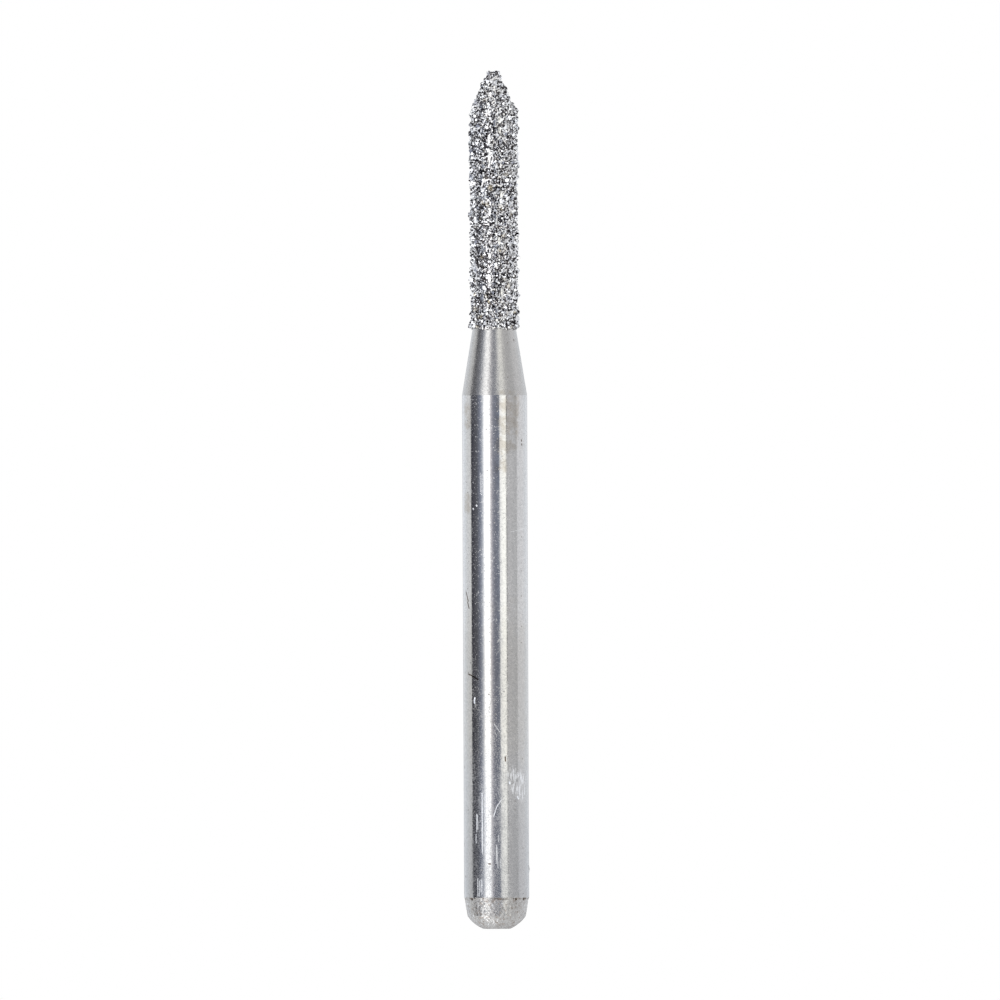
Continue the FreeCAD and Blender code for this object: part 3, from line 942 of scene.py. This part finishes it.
# Darker on the dark marks, in the pits and along the edge of the bevel.
darkened_share = dark_marks
for share in (ring_pits, micro_pits * 0.55, dark_rim * 0.8):
    darkened_share = steel.math("MAXIMUM", darkened_share, share)
steel_colour = steel.blend(darkened_share, steel_colour, DARK_GREY)
steel_colour = steel.blend(crud * 0.5, steel_colour, BROWN)
# Partly painted highlight: the near-white of the marks is bare steel and the glint it catches.
bare_steel_and_glint = pale_marks
for share in (glint_flecks * 0.8, scuffs * 0.75, streaks, scratches * 0.5):
    bare_steel_and_glint = steel.math("MAXIMUM", bare_steel_and_glint, share)
steel_colour = steel.blend(bare_steel_and_glint, steel_colour, BRIGHT)
steel.surface(
    steel_blank,
    {
        "Base Color": steel_colour,
        "Metallic": 1.0,
        "Roughness": rough,
        "Normal": steel.bump(relief),
    },
)

# %% [markdown]
# In a few patches of the head the nickel has closed over the grains. The mirror follows
# the round head there instead of the facets, so a patch shows the softbox as a large
# glint, or the dark wall beside it as a hole. The clearest of them on the real head are
# listed by place, as the marks on the shank are.

# %% Where the nickel has closed over
CLOSED_OVER = [
    (-11.0, 18.80, -11.0, 19.15), (-11.5, 15.9, -11.5, 16.05), (-11.0, 19.37, -11.0, 19.46),
    (-11.0, 17.6, -11.0, 17.7), (-11.0, 16.54, -11.0, 16.58), (16.0, 19.62, 16.0, 19.70),
    (16.0, 19.88, 16.0, 19.96), (20.0, 18.04, 20.0, 18.12), (21.0, 15.60, 21.0, 15.68),
    (-22.0, 18.0, -24.0, 18.1), (-27.0, 18.75, -27.0, 18.9), (-29.0, 19.64, -29.0, 19.74),
    (-29.0, 18.40, -29.0, 18.50), (-31.0, 15.50, -33.0, 15.85), (-41.0, 17.85, -46.0, 18.15),
    (-30.0, 16.69, -30.0, 16.77), (4.0, 19.79, 4.0, 19.87), (5.0, 17.45, 5.0, 17.53),
    (6.0, 15.21, 6.0, 15.29), (14.0, 16.89, 14.0, 16.97),
]
CLOSED_HALF_WIDTH = 0.066
print("closed patches:", len(CLOSED_OVER))

# %% [markdown]
# The bond is plated nickel, which grows in tiny knobs. Its colour is painted light: a
# painted highlight on top of each knob and painted shade in the hollows between. One noise
# gives the knobs' height and that painted light, so that the two always agree.

# %% Plated nickel
nickel = Finish("plated_nickel")
place = nickel.place()
crust = nickel.noise(place, 21.0, 2.0, 0.5)
PLATED = grey(0.75, 1.0, 0.98)
# Painted shade for the hollows between the knobs and a painted highlight for their tops.
HOLLOW_SHADE, KNOB_HIGHLIGHT = grey(0.075, 1.12, 1.06), grey(0.94, 1.01, 0.985)
nickel_colour = nickel.blend(nickel.step(crust, 0.47, 0.545), HOLLOW_SHADE, KNOB_HIGHLIGHT)
closed_over = nearness(unroll(nickel, place), CLOSED_OVER, CLOSED_HALF_WIDTH)
nickel_colour = nickel.blend(closed_over * 0.8, nickel_colour, PLATED)
nickel.surface(
    nickel_bond,
    {
        "Base Color": nickel_colour,
        "Metallic": 1.0,
        "Roughness": 0.08 + 0.25 * crust,
        "Normal": nickel.bump(crust * 14.0 * (1 - 0.9 * closed_over)),
    },
)

# %% [markdown]
# The grains are what sparkles. A clear crystal of this size, half sunk in metal, looks
# like a chip of dark glass with a few blinding spots. True refraction in thousands of
# grains would be slow and noisy, so the facets are made as small mirrors, and the light
# that refraction would bring is painted on them. A noise is cut off sharply into painted
# black shade and painted white glint, and the tone of the facet says how much of it is
# glint. About one grain in fifty is yellowish.

# %% Diamond grit
# The first two colours are painted shade and painted glint, in place of light through the
# crystal.
PAINTED_DARK, PAINTED_GLINT = grey(0.042, 1.10, 1.10), grey(0.97, 0.985, 1.025)
YELLOW_STONE = grey(0.55, 1.14, 0.74)
diamond = Finish("diamond_grit")
place = diamond.place()
tone = diamond.node(
    "SeparateColor", {}, {0: diamond.node("Attribute", {"attribute_name": "facet"}, {}, "Color")}
)
tint, rough = tone.output("Green"), tone.output("Blue")
frost = diamond.noise(place, 45.0, 3.0, 0.6)
# This noise decides where a facet gets painted glint and where it gets painted shade.
glint_noise = diamond.noise(place, 21.0, 1.0, 0.5)
glint = diamond.step(glint_noise + (tone - 0.5) * 0.2, 0.47, 0.54)
grain_colour = diamond.blend(glint, PAINTED_DARK, PAINTED_GLINT)
closed_over = nearness(unroll(diamond, place), CLOSED_OVER, CLOSED_HALF_WIDTH)
plated = diamond.step(diamond.noise(place, 6.0, 2.0, 0.6), 0.60, 0.63) * 0.5
plated = diamond.math("MAXIMUM", plated, closed_over)
normal = diamond.node("NewGeometry", {}, {}, "Normal")
straight_out = diamond.vector("MULTIPLY", place, (1.0, 1.0, 0.0))
straight_out = diamond.vector("NORMALIZE", straight_out, (0.0, 0.0, 0.0))
sockets = {0: diamond.step(plated, 0.0, 0.5) * 0.92, 4: normal, 5: straight_out}
normal = diamond.node("Mix", {"data_type": "VECTOR"}, sockets, 1)
grain_colour = diamond.blend(plated * 0.8, grain_colour, PLATED)
yellow = diamond.step(tint, 0.975, 0.99) * 0.5
grain_colour = diamond.blend(yellow, grain_colour, YELLOW_STONE)
diamond.surface(
    diamond_grains,
    {
        "Base Color": grain_colour,
        "Metallic": 1.0,
        "Roughness": 0.05 + 0.12 * rough,
        "Normal": diamond.bump(frost * 2.0 * (1 - 0.9 * plated), normal),
    },
)

# %% [markdown]
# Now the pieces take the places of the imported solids. The blank stands for the steel
# solid, and the bond and the grains stand together for the coat.

# %% Join the pieces to the frame
for piece, node, slot in (
    (steel_blank, "steel_shank", "steel"),
    (nickel_bond, "diamond_coating", "grit"),
    (diamond_grains, "diamond_coating", "grit"),
):
    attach(piece, "root")
    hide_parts(node)
    print(piece.name, "stands for", node)

# %% [markdown]
# A polished pin is mostly a picture of the room, so the studio decides its looks. A point
# at a share u of the radius from the middle mirrors the direction 2 * asin(u) to the side
# of the camera. So the stripes on the shank could be read backwards into the lights: a
# white softbox left of the camera, a dark wall beyond it, a narrow warm lamp to the right
# and pale grey walls behind. They could be lamps, but here they are one round wall, with
# its brightness given at a few angles. Two entries close together make a sharp edge.

# %% The light of the studio wall
WALL_LIGHT = np.array(
    [
        # degrees to the right of the camera, red, green, blue
        (-180, 0.45, 0.45, 0.48), (-173, 0.45, 0.45, 0.48), (-155, 1.08, 1.11, 1.16),
        (-135, 0.99, 1.03, 1.08), (-112, 0.94, 0.95, 0.96), (-94.6, 0.92, 0.92, 0.92),
        (-93.6, 0.07, 0.07, 0.08), (-86, 0.08, 0.08, 0.10), (-80, 0.11, 0.11, 0.13),
        (-67, 0.15, 0.155, 0.18), (-57, 0.25, 0.27, 0.34), (-51, 0.40, 0.43, 0.52),
        (-47, 0.60, 0.64, 0.72), (-43, 0.96, 0.99, 1.06), (-39.5, 1.50, 1.50, 1.52),
        (-36, 2.25, 2.25, 2.25), (-19.5, 2.25, 2.25, 2.25), (-17, 1.15, 1.13, 1.14),
        (-14, 0.84, 0.80, 0.83), (-10.5, 0.55, 0.54, 0.60), (-6, 0.36, 0.37, 0.425),
        (-2, 0.28, 0.29, 0.35), (8, 0.25, 0.27, 0.335), (16.0, 0.29, 0.32, 0.40),
        (17.0, 1.34, 1.33, 1.31), (27, 1.50, 1.49, 1.42), (35, 1.63, 1.62, 1.54),
        (40.2, 1.40, 1.38, 1.32), (41.0, 0.30, 0.30, 0.30), (43.0, 0.36, 0.36, 0.36),
        (44.0, 0.72, 0.71, 0.72), (70, 0.68, 0.68, 0.69), (84.0, 0.64, 0.64, 0.65),
        (85.6, 0.92, 0.92, 0.94), (112, 0.97, 0.97, 0.99), (135, 0.94, 0.97, 1.01),
        (155, 1.02, 1.04, 1.08), (173, 0.45, 0.45, 0.48), (180, 0.45, 0.45, 0.48),
    ]
)
print("mean of the entries:", WALL_LIGHT[:, 1:].mean(axis=0).round(2))

# %% [markdown]
# The wall is made of a few rings. The neck looks up at the high ones and the end looks
# down at the low ones, and their stripes are turned, spread and mixed with haze as the
# real neck and end show them. A soft glow beside the softbox is added to the low ones. It
# makes the wide pale glint that runs down the end. The light is kept as a colour at each
# point of the mesh, and Blender blends it between the points.

# %% The studio wall
WALL_ROWS = np.array(
    [
        # height in metres, radius, degrees of twist, degrees of spread, haze, glow
        (-0.15, 0.02, -80, 9, 0.85, 3.6), (-0.05, 0.15, 0, 14, 0.28, 0.85),
        (-0.02, 0.15, 0, 0, 0, 0), (0.03, 0.15, 0, 0, 0, 0),
        (0.055, 0.15, -6, 0, 0.08, 0), (0.12, 0.15, -6, 0, 0.08, 0),
    ]
)
HAZE_LIGHT = 0.95
GLOW_ANGLE, GLOW_WIDTH = -52, 18
WALL_STEP = 4.0
WALL_COLUMNS = np.union1d(WALL_LIGHT[:, 0], np.arange(-180, 180, WALL_STEP))
wall_height, wall_radius, wall_twist, wall_spread, wall_haze, wall_glow = WALL_ROWS.T
spread_angle = wall_spread[:, None] * np.sin(2 * np.radians(WALL_COLUMNS))
wall_angle = np.radians(WALL_COLUMNS + wall_twist[:, None] + spread_angle)
wall_z = np.repeat(wall_height[:, None], len(WALL_COLUMNS), axis=1)
wall_x = wall_radius[:, None] * np.sin(wall_angle)
wall_y = -wall_radius[:, None] * np.cos(wall_angle)
wall_points = np.stack((wall_x, wall_y, wall_z), axis=2).reshape(-1, 3)
number = np.arange(len(wall_points)).reshape(wall_z.shape)
wall_quads = np.stack(
    (number[:-1, :-1], number[:-1, 1:], number[1:, 1:], number[1:, :-1]), axis=2
).reshape(-1, 4)
studio_wall = new_object("studio_wall", wall_points, wall_quads.tolist())
studio_wall.visible_camera = False
glow_shape = np.exp(-(((WALL_COLUMNS - GLOW_ANGLE) / GLOW_WIDTH) ** 2))
wall_light = np.ones((len(wall_points), 4), np.float32)
for channel in range(3):
    clear = np.interp(WALL_COLUMNS, WALL_LIGHT[:, 0], WALL_LIGHT[:, 1 + channel])
    hazy = clear + wall_haze[:, None] * (HAZE_LIGHT - clear)
    wall_light[:, channel] = (hazy + wall_glow[:, None] * glow_shape).ravel()
light = studio_wall.data.color_attributes.new("light", "FLOAT_COLOR", "POINT")
light.data.foreach_set("color", wall_light.ravel())
lit = Finish("lit_wall")
glow = lit.node("Attribute", {"attribute_name": "light"}, {}, "Color")
lit.node("OutputMaterial", {}, {"Surface": lit.node("Emission", {}, {"Color": glow})})
studio_wall.data.materials.append(lit.material)
print("mean light of the wall:", wall_light[:, :3].mean().round(2))

# %% [markdown]
# The floor is plain and white, and it takes the bur's shadow. The bur in the photograph
# hovers on a white ground with no floor mirrored in its end, so mirror rays and the light
# from below go through this floor.

# %% The floor
# half of its width, in metres
FLOOR_HALF = 0.4
FLOOR_SIGNS = [(-1, -1, 0), (1, -1, 0), (1, 1, 0), (-1, 1, 0)]
floor = new_object("floor", np.array(FLOOR_SIGNS) * FLOOR_HALF, [(0, 1, 2, 3)])
paper = Finish("white_paper")
seen = paper.node("BsdfDiffuse", {}, {"Color": grey(0.92)})
open_floor = paper.node("BsdfTransparent", {}, {})
glossy_ray = paper.node("LightPath", {}, {}, "Is Glossy Ray")
through = paper.math("MAXIMUM", glossy_ray, glossy_ray.output("Is Shadow Ray"))
mixed = paper.node("MixShader", {}, {0: through, 1: seen, 2: open_floor})
paper.node("OutputMaterial", {}, {"Surface": mixed})
floor.data.materials.append(paper.material)
print("the floor is", 2 * FLOOR_HALF, "m wide")

# %% [markdown]
# The photograph was taken from so far off that the shank is as wide at its foot as at its
# top, so a camera without perspective matches it. The shank's width in pixels gives the
# scale. The real bur leans by a quarter of a degree, and here the camera leans instead.

# %% World and camera
world = bpy.data.worlds.new("white_room")
world.use_nodes = True
background = world.node_tree.nodes["Background"]
background.inputs["Color"].default_value = (1, 1, 1, 1)
background.inputs["Strength"].default_value = 1.0
bpy.context.scene.world = world

# these were measured in the photograph, in pixels
SHANK_PIXELS, PHOTO_WIDTH = 65.0, 1000
AXIS_COLUMN, FOOT_ROW = 495.0, 928.7
LEAN = np.radians(0.24)
PIXEL = 2 * SHANK_RADIUS / SHANK_PIXELS
# in metres
CAMERA_DISTANCE = 0.1
camera_data = bpy.data.cameras.new("camera")
camera_data.type = "ORTHO"
camera_data.ortho_scale = PHOTO_WIDTH * PIXEL * MM
camera_data.clip_start = MM
camera = bpy.data.objects.new("camera", camera_data)
camera.location = (
    (PHOTO_WIDTH / 2 - AXIS_COLUMN) * PIXEL * MM,
    -CAMERA_DISTANCE,
    (FOOT_ROW - PHOTO_WIDTH / 2) * PIXEL * MM,
)
camera.rotation_euler = (HALF_TURN / 2, LEAN, 0)
bpy.context.scene.collection.objects.link(camera)
bpy.context.scene.camera = camera
bpy.context.scene.view_settings.view_transform = "Standard"
print("a pixel is", round(PIXEL, 4), "mm, and the picture", round(PHOTO_WIDTH * PIXEL, 1), "mm")
